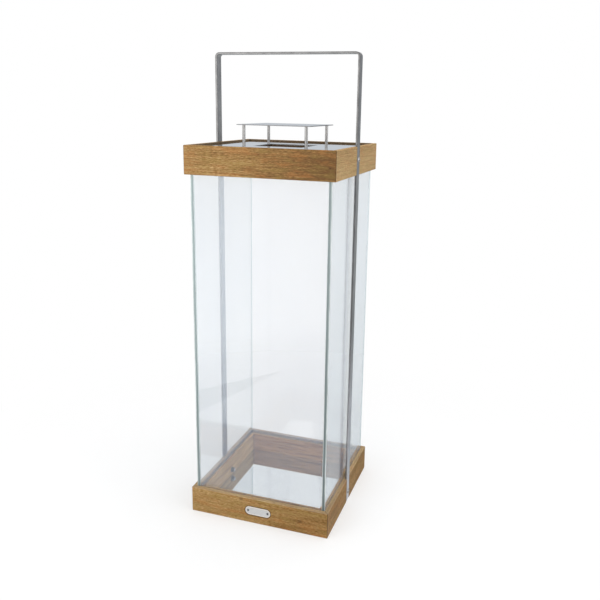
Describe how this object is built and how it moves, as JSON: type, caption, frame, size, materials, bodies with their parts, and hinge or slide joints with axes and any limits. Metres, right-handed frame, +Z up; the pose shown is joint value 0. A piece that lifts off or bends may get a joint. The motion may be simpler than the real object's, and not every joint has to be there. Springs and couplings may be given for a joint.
{
  "type": "candle lantern",
  "caption": "Tall square floor lantern: glass box between mitred wooden frames, mirror floor plate, lift-off vented steel lid and a flat steel bar handle.",
  "frame": {"origin": "centre of the footprint on the ground, at the underside of the lower frame", "axes": "+Z up through the lid, +X towards one leg of the handle, -Y the front with the nameplate"},
  "size_m": [0.3058, 0.3, 0.941],
  "materials": {
    "oak": "oiled golden-brown, fine straight grain along each board",
    "glass": "clear, with polished greenish edges",
    "handle_steel": "dark grey, brushed along its length, slightly mottled",
    "mirror_steel": "mirror polished",
    "lid_steel": "polished sheet, slightly blue",
    "post_steel": "satin",
    "nameplate_steel": "satin, bare",
    "fasteners": "satin",
    "bedding": "matt, dark",
    "plywood": "plain birch ply",
    "tongue_wood": "plain beech"
  },
  "bodies": {
    "lantern": {"bottom_front_board": "oak", "bottom_right_board": "oak", "bottom_back_board": "oak", "bottom_left_board": "oak", "top_front_board": "oak", "top_right_board": "oak", "top_back_board": "oak", "top_left_board": "oak", "glass_front": "glass", "glass_right": "glass", "glass_back": "glass", "glass_left": "glass", "bottom_mitre_tongues": "tongue_wood", "top_mitre_tongues": "tongue_wood", "bottom_bedding": "bedding", "top_bedding": "bedding", "base_panel": "plywood", "floor_plate": "mirror_steel", "handle": "handle_steel", "handle_bolts": "fasteners", "handle_washers": "fasteners", "handle_nuts": "fasteners", "nameplate": "nameplate_steel", "nameplate_screws": "fasteners"},
    "lid": {"lid_plate": "lid_steel", "post_front_left": "post_steel", "post_front_right": "post_steel", "post_back_left": "post_steel", "post_back_right": "post_steel", "vent_cover": "lid_steel", "post_screws": "fasteners", "post_nuts": "fasteners"}
  },
  "joints": [
    {"name": "lid_lift", "type": "slide", "parent": "lantern", "child": "lid", "axis": [0, 0, 1], "range_m": [0, 0.12]}
  ]
}
